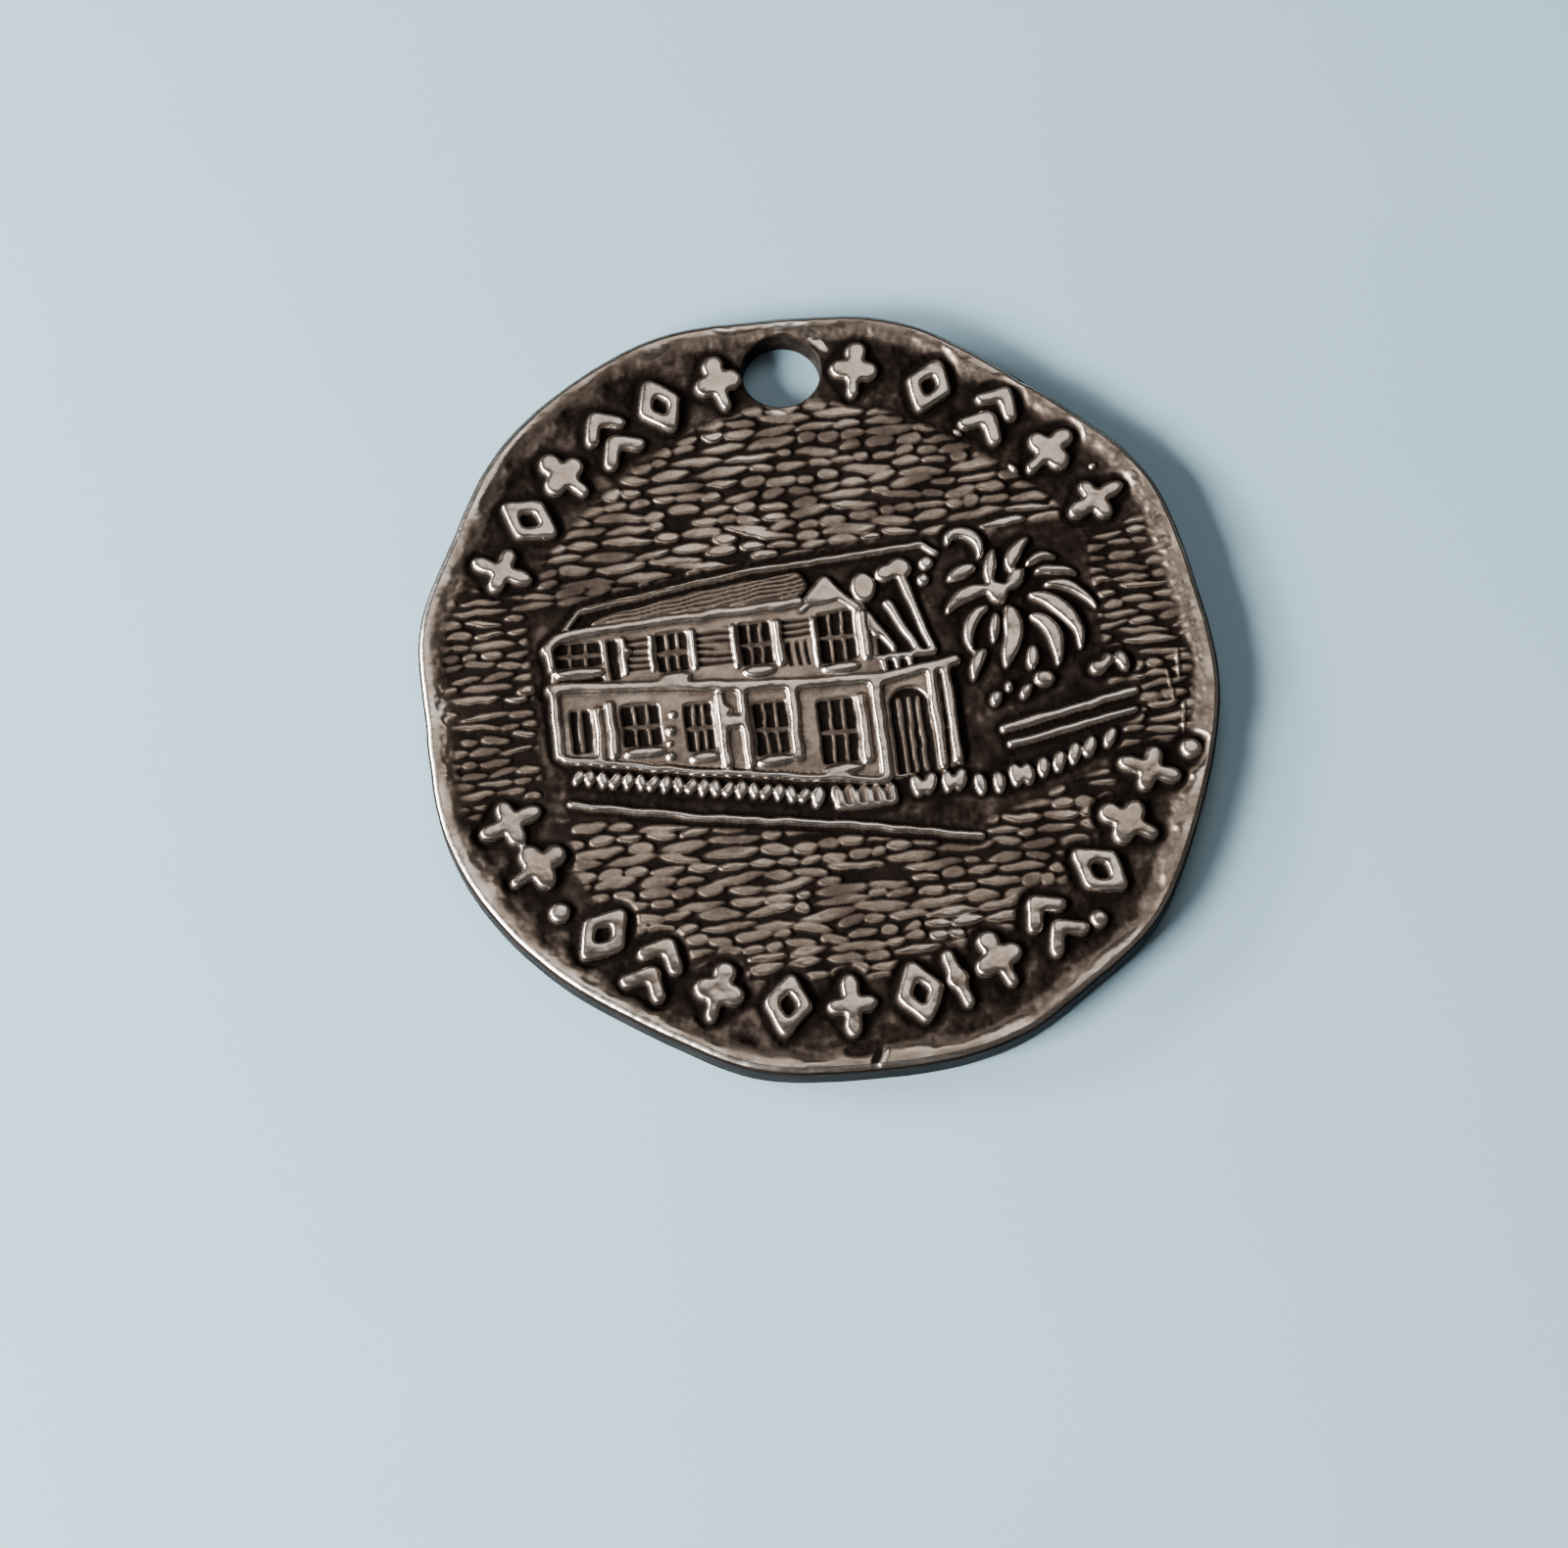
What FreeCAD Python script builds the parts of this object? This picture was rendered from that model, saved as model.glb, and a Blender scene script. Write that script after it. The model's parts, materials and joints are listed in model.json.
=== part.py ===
import FreeCAD, Part
import math
import os

# A round souvenir medal, cast in white metal, with a hole for a key ring near its edge.
# Millimetres. The origin is on the flat back face, at the centre of the ornament circle.
# +Z is out of the face, and +Y runs from the centre to the ring hole.
# Each node is one feature of the medal. Neighbours touch face to face and never overlap.

V = FreeCAD.Vector

# Driving dimensions
FIELD_Z = 1.2            # height of the sunk field above the back face
RELIEF = 0.3             # height of the rim and of the boldest relief above the field
TOP_Z = FIELD_Z + RELIEF
WALL_RELIEF = 0.13       # height of the house's wall faces above the field
WALL_Z = FIELD_Z + WALL_RELIEF
SASH_RELIEF = 0.08       # height of the window bars inside the recesses
ROOF_RELIEF = 0.2        # height of the roof plane
LOW_RELIEF = 0.22        # height of the kerb, fence and plants
EDGE_ROUND = 0.2         # rounding of the medal's outer edge, front and back
HOLE_RADIUS = 1.5
HOLE_CENTRE_Y = 13.1
SMALLEST_PIECE = 0.002   # cubic millimetres: a scrap smaller than this isn't kept

# The medal isn't a true circle. Each pair is an angle in degrees, anticlockwise from +X, and a radius.
OUTLINE = [
    (0, 14.75), (14, 14.75), (30, 15.15), (46, 14.75), (58, 14.9), (74, 15.42), (90, 15.28), (104, 15.68),
    (124, 15.74), (138, 15.57), (150, 15.13), (165, 15.2), (177, 14.76), (195, 15.0), (213, 14.9),
    (230, 14.6), (241, 14.55), (254, 14.92), (266, 14.84), (280, 15.04), (293, 15.26), (303, 15.08),
    (315, 15.24), (330, 14.84), (345, 14.76),
]
# Inner edge of the rim, as the same kind of pairs.
RIM_INNER = [
    (0, 14.25), (14, 14.3), (30, 14.82), (44, 14.45), (60, 14.55), (75, 14.92), (90, 14.82), (106, 15.05),
    (124, 15.2), (138, 15.05), (150, 14.6), (165, 14.65), (177, 14.2), (195, 14.35), (213, 14.3),
    (230, 14.05), (242, 13.95), (254, 14.25), (267, 14.15), (281, 14.35), (294, 14.55), (304, 14.45),
    (315, 14.75), (330, 14.35), (345, 14.3),
]

# Ornaments stand on a circle a little above the medal's centre.
ORNAMENT_CIRCLE_Y = 0.4
ORNAMENT_CIRCLE_R = 12.7
ORNAMENT_HEIGHT = 2.5
ORNAMENT_WIDTH = 1.85
STROKE = 0.56

UPPER_SLOTS = [
    (153.5, "rosette"), (143.0, "lozenge"), (133.0, "trefoil"), (122.3, "chevrons"), (111.9, "lozenge"),
    (101.0, "trefoil"), (77.3, "trefoil"), (64.0, "lozenge"), (52.0, "chevrons"), (40.0, "trefoil"),
    (28.0, "rosette"),
]
LOWER_SLOTS = [
    (200.0, "rosette"), (209.0, "trefoil"), (225.0, "lozenge"), (235.4, "chevrons"), (246.6, "trefoil"),
    (258.2, "lozenge"), (268.5, "rosette"), (279.8, "lozenge"), (286.5, "spindle"), (294.0, "trefoil"),
    (305.0, "chevrons"), (317.0, "lozenge"), (326.7, "trefoil"), (336.8, "rosette"),
]
# Pellets: angle, radius from the origin, pellet radius
PELLETS = [(215.8, 12.9, 0.4), (311.6, 13.55, 0.35), (343.3, 13.85, 0.42)]


# ---------- plane shapes ----------

def polar(angle, radius):
    """Point at an angle in degrees and a radius, in the plane of the face."""
    a = math.radians(angle)
    return V(radius * math.cos(a), radius * math.sin(a), 0)


def closed_curve(points):
    """Smooth closed wire through points."""
    curve = Part.BSplineCurve()
    curve.interpolate(Points=points, PeriodicFlag=True)
    return Part.Wire([curve.toShape()])


def extrude(face, low, high):
    """Solid of a plane face between two heights."""
    moved = face.copy()
    moved.translate(V(0, 0, low))
    return moved.extrude(V(0, 0, high - low))


def polygon(points):
    """Plane face inside a closed run of straight lines."""
    corners = [V(x, y, 0) for x, y in points]
    return Part.Face(Part.makePolygon(corners + corners[:1]))


def rectangle(x0, y0, x1, y1):
    """Plane face with its sides along X and Y."""
    return polygon([(x0, y0), (x1, y0), (x1, y1), (x0, y1)])


def disc(x, y, radius):
    """Round plane face."""
    circle = Part.Circle(V(x, y, 0), V(0, 0, 1), radius)
    return Part.Face(Part.Wire([circle.toShape()]))


def oval(x, y, across, up, turn=0):
    """Plane oval, across wide and up high, turned by an angle in degrees."""
    long_x = across >= up
    curve = Part.Ellipse(V(0, 0, 0), max(across, up) / 2, min(across, up) / 2)
    face = Part.Face(Part.Wire([curve.toShape()]))
    face.rotate(V(0, 0, 0), V(0, 0, 1), turn + (0 if long_x else 90))
    face.translate(V(x, y, 0))
    return face


def bar(start, end, width, end_width=None):
    """Straight bar between two points, which may narrow towards its end."""
    a = V(start[0], start[1], 0)
    b = V(end[0], end[1], 0)
    along = (b - a).normalize()
    side = V(-along.y, along.x, 0)
    half_a = width / 2
    half_b = (width if end_width is None else end_width) / 2
    corners = [a + side * half_a, a - side * half_a, b - side * half_b, b + side * half_b]
    return Part.Face(Part.makePolygon(corners + corners[:1]))


def stroke(points, width, closed=False):
    """Line of even width through points, with round joints and ends."""
    runs = list(zip(points, points[1:] + (points[:1] if closed else [])))
    faces = [bar(a, b, width) for a, b in runs]
    faces += [disc(x, y, width / 2) for x, y in points]
    return faces


def blade(points, width):
    """Leaf-shaped stroke along a curve, widest before its middle and narrow at both ends."""
    spine = Part.BSplineCurve()
    spine.interpolate([V(x, y, 0) for x, y in points])
    first, last = spine.FirstParameter, spine.LastParameter
    left = []
    right = []
    for share, fullness in ((0.0, 0.35), (0.2, 0.85), (0.45, 1.0), (0.75, 0.7), (1.0, 0.2)):
        u = first + share * (last - first)
        along = spine.tangent(u)[0]
        side = V(-along.y, along.x, 0) * (width * fullness / 2)
        left.append(spine.value(u) + side)
        right.append(spine.value(u) - side)
    edges = []
    for run in (left, list(reversed(right))):
        curve = Part.BSplineCurve()
        curve.interpolate(run)
        edges.append(curve.toShape())
    edges.append(Part.LineSegment(left[-1], right[-1]).toShape())
    edges.append(Part.LineSegment(right[0], left[0]).toShape())
    return Part.Face(Part.Wire(Part.__sortEdges__(edges)))


def raised(faces, low, high):
    """One relief feature: plane faces raised between two heights and joined where they meet."""
    solids = [extrude(face, low, high) for face in faces]
    joined = solids[0].multiFuse(solids[1:]) if len(solids) > 1 else solids[0]
    return joined.removeSplitter()


def clear_of(shape, others):
    """What is left of a shape outside the features that it would cross."""
    for other in others:
        if other.BoundBox.intersect(shape.BoundBox):
            shape = shape.cut(other)
    return shape


# ---------- the medal itself ----------

def rounded_slab(wire, low, high, front_round, back_round):
    """Slab inside an outline, with its outer edges rounded where a radius is given."""
    slab = extrude(Part.Face(wire), low, high)
    for level, radius in ((high, front_round), (low, back_round)):
        if radius:
            edges = [e for e in slab.Edges if all(abs(v.Z - level) < 1e-6 for v in e.Vertexes) and e.Closed]
            slab = slab.makeFillet(radius, edges)
    return slab


def ring_hole():
    """The space inside the hole for the key ring."""
    return Part.makeCylinder(HOLE_RADIUS, 3 * TOP_Z, V(0, HOLE_CENTRE_Y, -TOP_Z))


def planchet(outline):
    """Holed disc that carries all of the relief."""
    slab = rounded_slab(outline, 0, FIELD_Z, 0, EDGE_ROUND)
    return slab.cut(ring_hole())


def rim_border(outline, inner):
    """Raised border between the outline and an uneven inner edge."""
    slab = rounded_slab(outline, FIELD_Z, TOP_Z, EDGE_ROUND, 0)
    inside = extrude(Part.Face(inner), FIELD_Z - RELIEF, TOP_Z + RELIEF)
    return slab.cut(inside).cut(ring_hole())


# ---------- ornaments ----------
# Each is drawn upright about its own centre, ORNAMENT_WIDTH wide and ORNAMENT_HEIGHT high.

HALF_W = (ORNAMENT_WIDTH - STROKE) / 2
HALF_H = (ORNAMENT_HEIGHT - STROKE) / 2
CHEVRON_DROP = 0.7
LEAF_RADIUS = 0.43
PETAL_WIDTH = 0.66


def lozenge():
    """Open diamond."""
    corners = [(0, HALF_H), (HALF_W, 0), (0, -HALF_H), (-HALF_W, 0)]
    return stroke(corners, STROKE * 0.9, closed=True)


def chevrons():
    """Two stacked chevrons."""
    faces = []
    for peak in (HALF_H, -HALF_H * 0.25):
        faces += stroke([(-HALF_W, peak - CHEVRON_DROP), (0, peak), (HALF_W, peak - CHEVRON_DROP)], STROKE)
    return faces


def trefoil():
    """Three round leaves on a short stem."""
    faces = stroke([(0, -HALF_H), (0, HALF_H - 0.3)], STROKE * 0.85)
    faces.append(disc(0, HALF_H - 0.2, LEAF_RADIUS))
    for side in (-1, 1):
        faces.append(disc(side * (HALF_W - 0.13), 0, LEAF_RADIUS))
    return faces


def rosette():
    """Four petals about a pellet, the upright pair the longer."""
    faces = [disc(0, 0, STROKE * 0.7)]
    for side in (-1, 1):
        faces.append(oval(0, side * (HALF_H - 0.25), 1.05, PETAL_WIDTH, 90))
        faces.append(oval(side * (HALF_W - 0.1), 0, 0.8, PETAL_WIDTH, 0))
    return faces


def spindle():
    """Narrow upright bar with a pellet at its middle."""
    return stroke([(0, -HALF_H), (0, HALF_H)], STROKE * 0.85) + [disc(0, 0, STROKE * 0.75)]


ORNAMENTS = {
    "lozenge": lozenge,
    "chevrons": chevrons,
    "trefoil": trefoil,
    "rosette": rosette,
    "spindle": spindle,
}


def ornament_at(angle, kind, feet_outward):
    """Ornament placed in its slot. The lower arc's ornaments stand with their feet outward."""
    a = math.radians(angle)
    shape = raised(ORNAMENTS[kind](), FIELD_Z, TOP_Z)
    shape.rotate(V(0, 0, 0), V(0, 0, 1), angle + 90 if feet_outward else angle - 90)
    centre_y = ORNAMENT_CIRCLE_Y + ORNAMENT_CIRCLE_R * math.sin(a)
    shape.translate(V(ORNAMENT_CIRCLE_R * math.cos(a), centre_y, 0))
    return shape


def ornament_row(slots, feet_outward):
    """All the ornaments of one arc, as separate solids in one group."""
    return Part.makeCompound([ornament_at(angle, kind, feet_outward) for angle, kind in slots])


def border_pellets():
    """Round pellets between the ornaments."""
    solids = []
    for angle, radius, size in PELLETS:
        spot = polar(angle, radius)
        solids.append(raised([disc(spot.x, spot.y, size)], FIELD_Z, TOP_Z))
    return Part.makeCompound(solids)


# ---------- the house ----------
# A plain two-storey house seen from its long front, with the right-hand end wall turned away.

CORNER_X = 2.3           # vertical edge between the front and the end wall
HOUSE_RIGHT = 4.9
EAVE = [(-10.0, 2.7), (-9.5, 3.1), (-8.9, 3.2), (-5.0, 3.4), (-0.4, 3.5)]
FLOOR = [(-10.0, 1.1), (-6.0, 0.78), (-3.0, 0.4), (0.0, 0.2), (2.3, 0.12), (5.1, 0.5)]
BASE = [(-9.7, -1.7), (-5.0, -2.75), (0.0, -3.6), (2.0, -3.95)]

# Window recesses: left, bottom, right, top
UPPER_WINDOWS = [
    (-9.75, 1.9, -7.95, 2.85), (-5.9, 1.35, -4.75, 2.85), (-2.8, 1.2, -1.6, 2.9), (0.15, 1.0, 1.5, 3.0),
]
LOWER_WINDOWS = [
    (-7.5, -1.5, -6.05, 0.1), (-5.15, -1.95, -4.1, -0.05), (-2.65, -2.4, -1.35, -0.3),
    (-0.25, -3.0, 1.15, -0.5),
]
FRONT_DOOR = (-9.4, -1.5, -8.65, 0.2)
END_DOOR = (2.45, -3.7, 3.9, -1.0)
# Plain slots in the walls: beside the first window, and under its sill
SLOTS = [(-7.75, 1.25, -7.35, 2.8), (-9.65, 1.2, -8.0, 1.45)]
EAVE_WIDTH = 0.4
FLOOR_WIDTH = 0.42
BASE_WIDTH = 0.24
SILL_DROP = 0.28
SILL_HEIGHT = 0.42
BAR_WIDTH = 0.15
RIDGE = [(-8.6, 4.12), (-5.0, 4.65), (-2.0, 5.0), (2.0, 5.22), (4.4, 5.35), (4.95, 4.9)]
# Posts: centre x, bottom, top, width
POSTS = [
    (-9.9, 1.75, 2.6, 0.28), (-9.9, -1.65, 1.0, 0.34), (-8.4, -1.85, 0.15, 0.28), (-7.87, -1.85, 0.4, 0.32),
    (-3.78, -2.75, 0.2, 0.34), (-2.95, -2.85, 0.2, 0.3), (-1.1, -2.85, 0.05, 0.36),
    (-7.15, 1.35, 2.9, 0.2), (-6.1, 1.3, 2.9, 0.14), (-4.55, 1.25, 2.95, 0.24), (-3.0, 1.1, 2.95, 0.16),
    (-1.35, 1.0, 2.95, 0.28), (0.0, 0.8, 2.95, 0.16), (1.4, -3.2, -0.4, 0.34),
    (2.0, -3.9, 0.1, 0.42), (1.85, 0.9, 2.9, 0.36), (4.15, -3.75, 0.15, 0.34), (4.7, -3.55, 0.3, 0.34),
]
# Pellets hung on the walls: centre x, y and radius
WALL_PELLETS = [
    (-8.35, 0.1, 0.17), (-5.55, -0.42, 0.16), (-5.7, -1.05, 0.19), (-5.8, -1.55, 0.14), (-5.85, -2.05, 0.17),
    (-3.55, -0.5, 0.17), (-3.35, -1.0, 0.28), (-7.0, 2.25, 0.17),
]
# Braces of the balcony: top and foot
BRACES = [((1.95, 2.9), (2.95, 1.2)), ((2.8, 3.2), (3.85, 1.0)), ((3.5, 4.0), (4.4, 0.95))]


def all_windows():
    return UPPER_WINDOWS + LOWER_WINDOWS


def end_door_face():
    """Arched outline of the door in the end wall."""
    x0, y0, x1, y1 = END_DOOR
    middle = (x0 + x1) / 2
    return [rectangle(x0, y0, x1, y1), oval(middle, y1, x1 - x0, 1.3)]


def house_walls():
    """Wall faces of both storeys, open where the windows and doors are."""
    front = polygon([(-9.9, -1.6), (-9.9, 2.6), (-9.3, 3.0), (-5, 3.3), (1.9, 3.4), (2.3, 2.4), (2.3, -3.85)])
    end = polygon([(CORNER_X, -3.85), (CORNER_X, 0.1), (HOUSE_RIGHT, 0.35), (HOUSE_RIGHT, -3.6)])
    body = raised([front, end], FIELD_Z, WALL_Z)
    holes = [rectangle(*w) for w in all_windows() + SLOTS + [FRONT_DOOR]] + end_door_face()
    return body.cut(raised(holes, FIELD_Z - RELIEF, TOP_Z + RELIEF))


def house_windows():
    """Sash bars and door slats, standing in the recesses."""
    faces = []
    for x0, y0, x1, y1 in all_windows():
        middle_x = (x0 + x1) / 2
        middle_y = (y0 + y1) / 2
        faces.append(bar((x0, middle_y), (x1, middle_y - 0.05), BAR_WIDTH))
        for share in (0.33, 0.67):
            x = x0 + share * (x1 - x0)
            faces.append(bar((x, y0), (x, y1), BAR_WIDTH * 0.8))
    x0, y0, x1, y1 = FRONT_DOOR
    faces.append(bar(((x0 + x1) / 2, y0), ((x0 + x1) / 2, y1), BAR_WIDTH))
    x0, y0, x1, y1 = END_DOOR
    for share in (0.25, 0.5, 0.75):
        x = x0 + share * (x1 - x0)
        faces.append(bar((x, y0), (x, y1 + 0.3), BAR_WIDTH))
    return raised(faces, FIELD_Z, FIELD_Z + SASH_RELIEF)


def house_trim():
    """Eave, floor band, sills, posts and base line, bolder than the wall faces."""
    faces = stroke(EAVE, EAVE_WIDTH)
    faces += stroke(FLOOR, FLOOR_WIDTH)
    faces += stroke(BASE, BASE_WIDTH)
    for x0, y0, x1, _ in all_windows():
        faces.append(oval((x0 + x1) / 2, y0 - SILL_DROP, x1 - x0 + 0.1, SILL_HEIGHT))
    for x, bottom, top, width in POSTS:
        faces.append(bar((x, bottom), (x, top), width))
    faces += [disc(x, y, radius) for x, y, radius in WALL_PELLETS]
    return raised(faces, FIELD_Z, TOP_Z)


def house_roof():
    """Roof plane between the eave and the ridge, with its hip at the left."""
    upper_edge = [(-8.4, 3.45), (-7.8, 3.8), (-4.2, 4.4), (-0.3, 4.75)]
    plane = polygon(upper_edge + [(0.0, 4.2), (-0.5, 3.6), (-5, 3.5)])
    ridge = stroke(RIDGE, 0.24)
    hip = stroke([EAVE[1], RIDGE[0]], 0.2)
    return raised([plane] + ridge + hip, FIELD_Z, FIELD_Z + ROOF_RELIEF)


def house_balcony():
    """Gable over the balcony, its braces, and the low rail."""
    faces = stroke([(-0.4, 3.2), (0.6, 4.3), (1.25, 3.45), (1.95, 2.7), (2.3, 2.0)], 0.34)
    faces.append(polygon([(-0.3, 3.3), (0.6, 4.25), (1.1, 3.45)]))
    for top, foot in BRACES:
        faces.append(bar(top, foot, 0.3, 0.2))
    faces += stroke([(2.1, 0.95), (4.4, 1.0)], 0.2)
    for x in (2.45, 2.95, 3.45):
        faces.append(bar((x, 0.3), (x, 1.0), 0.18))
    faces.append(oval(2.05, 3.85, 0.85, 1.2))
    for x, y, size in ((2.9, 4.3, 0.34), (3.5, 4.45, 0.42), (4.5, 4.55, 0.26), (4.3, 3.9, 0.24)):
        faces.append(disc(x, y, size))
    return raised(faces, FIELD_Z, FIELD_Z + LOW_RELIEF)


# ---------- the garden ----------

PALM_HEART = (7.05, 3.0)
FROND_FULLNESS = 1.2
# Fronds: spine from the heart outward, and width
FRONDS = [
    ([(7.5, 3.8), (7.9, 4.6), (8.5, 5.2)], 0.46),
    ([(6.8, 3.4), (6.9, 4.2), (7.17, 4.9)], 0.36),
    ([(7.5, 3.05), (7.85, 3.6), (8.15, 3.85)], 0.46),
    ([(8.2, 3.95), (8.7, 4.3), (9.5, 4.15)], 0.3),
    ([(8.45, 3.65), (9.3, 3.72), (10.2, 3.3)], 0.32),
    ([(8.75, 3.15), (9.7, 2.98), (10.3, 2.5), (10.7, 1.9)], 0.33),
    ([(8.1, 2.8), (9.1, 2.35), (9.75, 1.45), (9.8, 0.35)], 0.52),
    ([(8.05, 1.95), (8.65, 1.6), (8.95, 0.8), (8.85, -0.2)], 0.5),
    ([(7.25, 2.45), (7.45, 1.8), (7.3, 1.0), (6.95, -0.05)], 0.62),
    ([(6.85, 2.3), (6.75, 1.7), (6.55, 0.9)], 0.26),
    ([(6.65, 2.5), (6.1, 2.25), (5.75, 1.65), (5.8, 0.75)], 0.36),
    ([(6.25, 0.85), (5.85, 0.25), (5.65, -0.45)], 0.4),
    ([(6.75, 3.2), (5.9, 3.1), (5.0, 2.35)], 0.48),
    ([(6.35, 4.1), (5.8, 4.0), (5.2, 3.65)], 0.42),
    ([(5.4, 5.1), (5.95, 5.6), (6.4, 5.3), (6.4, 4.4)], 0.42),
]
# Pieces of stem and low leaves: centre, across, up, turn
STEM = [(7.95, 0.3, 0.46, 1.0, -10), (8.3, -0.6, 0.8, 0.66, 0), (7.55, -1.0, 0.42, 0.76, -30),
        (6.4, -1.2, 0.42, 0.72, -20), (6.95, -0.75, 0.3, 0.6, -10), (10.35, -0.4, 0.7, 0.6, 0),
        (10.75, -0.1, 0.4, 0.6, 0), (11.3, -0.25, 0.48, 0.95, 10)]
# Rails: start, end, width
FENCE_RAILS = [((6.4, -2.42), (11.7, -1.42), 0.34), ((6.6, -3.05), (11.6, -2.15), 0.3)]
TUFT_COUNT = 19
TUFT_LENGTH = 0.72
TUFT_WIDTH = 0.34
BUSH_WIDTH = 0.44
BUSH_HEIGHT = 0.92
TUFT_START = (-9.3, -2.45)
TUFT_END = (-1.1, -4.1)
# Plants past the corner: centre x, y and lean
BUSHES = [
    (-0.6, -4.25, -10), (0.1, -4.3, 10), (0.6, -4.35, 0), (1.1, -4.4, -5), (1.6, -4.45, 5), (2.1, -4.4, 0),
    (3.05, -4.25, 10), (3.55, -4.2, -15), (4.2, -4.2, 0), (4.7, -4.2, -15), (5.4, -4.45, 5), (6.1, -4.45, 0),
    (6.75, -4.25, 0), (7.2, -4.25, 5), (7.8, -4.05, -5), (8.4, -3.9, -10), (9.0, -3.65, -15),
    (9.6, -3.45, -20), (10.4, -3.2, -25),
]
MOUND = (1.15, -4.7, 2.5, 0.4, 0)
KERB_WIDTH = 0.24
KERB = [(-9.7, -3.45), (-5.0, -4.5), (0.0, -5.35), (3.0, -5.95), (5.2, -6.45)]


def palm_tree():
    """Palm crown of curved fronds about its heart, with a short broken stem below."""
    faces = [blade(points, width * FROND_FULLNESS) for points, width in FRONDS]
    faces.append(oval(PALM_HEART[0], PALM_HEART[1], 0.7, 0.9))
    for x, y, across, up, turn in STEM:
        faces.append(oval(x, y, across, up, turn))
    return raised(faces, FIELD_Z, TOP_Z)


def garden_fence():
    """Two rails beside the house."""
    rails = [bar(start, end, width, width * 0.8) for start, end, width in FENCE_RAILS]
    return raised(rails, FIELD_Z, FIELD_Z + LOW_RELIEF)


def planting_row():
    """Row of small plants: slanted tufts along the front, then taller ones from a low mound onward."""
    faces = []
    for i in range(TUFT_COUNT):
        share = i / (TUFT_COUNT - 1)
        x = TUFT_START[0] + share * (TUFT_END[0] - TUFT_START[0])
        y = TUFT_START[1] + share * (TUFT_END[1] - TUFT_START[1])
        faces.append(oval(x, y, TUFT_LENGTH, TUFT_WIDTH, 62 + 14 * (i % 3)))
    for x, y, lean in BUSHES:
        faces.append(oval(x, y, BUSH_WIDTH, BUSH_HEIGHT, lean))
    faces.append(oval(*MOUND))
    return raised(faces, FIELD_Z, FIELD_Z + LOW_RELIEF)


def kerb_line():
    """Long thin line of the kerb."""
    return raised(stroke(KERB, KERB_WIDTH), FIELD_Z, FIELD_Z + LOW_RELIEF)


# ---------- all nodes ----------

def build_nodes():
    """Every node by name. In the picture, each feature gives way to those made before it."""
    outline = closed_curve([polar(angle, radius) for angle, radius in OUTLINE])
    inner = closed_curve([polar(angle, radius) for angle, radius in RIM_INNER])
    nodes = {
        "planchet": planchet(outline),
        "rim_border": rim_border(outline, inner),
        "upper_ornaments": ornament_row(UPPER_SLOTS, False),
        "lower_ornaments": ornament_row(LOWER_SLOTS, True),
        "border_pellets": border_pellets(),
    }
    picture = [
        ("house_walls", house_walls()),
        ("house_windows", house_windows()),
        ("house_trim", house_trim()),
        ("house_balcony", house_balcony()),
        ("house_roof", house_roof()),
        ("palm_tree", palm_tree()),
        ("garden_fence", garden_fence()),
        ("planting_row", planting_row()),
        ("kerb_line", kerb_line()),
    ]
    made = []
    for name, shape in picture:
        nodes[name] = clear_of(shape, made)
        made.append(nodes[name])
    return nodes


def save(nodes):
    os.makedirs("parts", exist_ok=True)
    for name, shape in nodes.items():
        solids = [solid for solid in shape.Solids if solid.Volume > SMALLEST_PIECE]
        Part.makeCompound(solids).exportStep("parts/" + name + ".step")
        print(name, len(solids), "solids", round(sum(s.Volume for s in solids), 3), "mm3")


save(build_nodes())
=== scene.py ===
import json
import math

import bpy
import numpy as np
from mathutils import Matrix, Vector


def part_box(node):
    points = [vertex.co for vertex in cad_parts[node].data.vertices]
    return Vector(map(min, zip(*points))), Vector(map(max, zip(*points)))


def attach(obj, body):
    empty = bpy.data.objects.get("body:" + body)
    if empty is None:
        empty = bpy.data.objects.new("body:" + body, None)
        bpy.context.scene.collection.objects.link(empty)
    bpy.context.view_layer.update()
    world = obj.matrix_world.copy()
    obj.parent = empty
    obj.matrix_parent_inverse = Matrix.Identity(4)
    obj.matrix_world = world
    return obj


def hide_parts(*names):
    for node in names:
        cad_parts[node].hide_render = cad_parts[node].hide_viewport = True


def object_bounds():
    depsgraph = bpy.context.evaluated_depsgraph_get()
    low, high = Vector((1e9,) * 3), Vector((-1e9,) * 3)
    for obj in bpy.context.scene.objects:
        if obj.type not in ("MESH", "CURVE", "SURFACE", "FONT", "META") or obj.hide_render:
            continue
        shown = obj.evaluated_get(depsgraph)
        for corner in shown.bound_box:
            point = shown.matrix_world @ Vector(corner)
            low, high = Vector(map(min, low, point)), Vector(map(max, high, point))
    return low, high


# An antiqued souvenir medal. Its face is one height field, worked out on a fine grid from the CAD
# nodes' plan shapes and split again into one closed mesh for each node. Lengths are in millimetres
# until a mesh is made, when they become metres.

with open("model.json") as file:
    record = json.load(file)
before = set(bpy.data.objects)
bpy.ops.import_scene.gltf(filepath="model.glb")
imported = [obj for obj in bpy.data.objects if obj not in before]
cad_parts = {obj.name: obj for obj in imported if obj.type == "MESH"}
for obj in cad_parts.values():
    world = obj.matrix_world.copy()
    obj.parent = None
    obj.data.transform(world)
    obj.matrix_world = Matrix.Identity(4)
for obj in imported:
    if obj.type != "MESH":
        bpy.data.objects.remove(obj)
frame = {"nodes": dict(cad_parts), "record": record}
CAD_LOW, CAD_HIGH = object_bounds()
MM = 0.001

# ---------- sizes ----------

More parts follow.
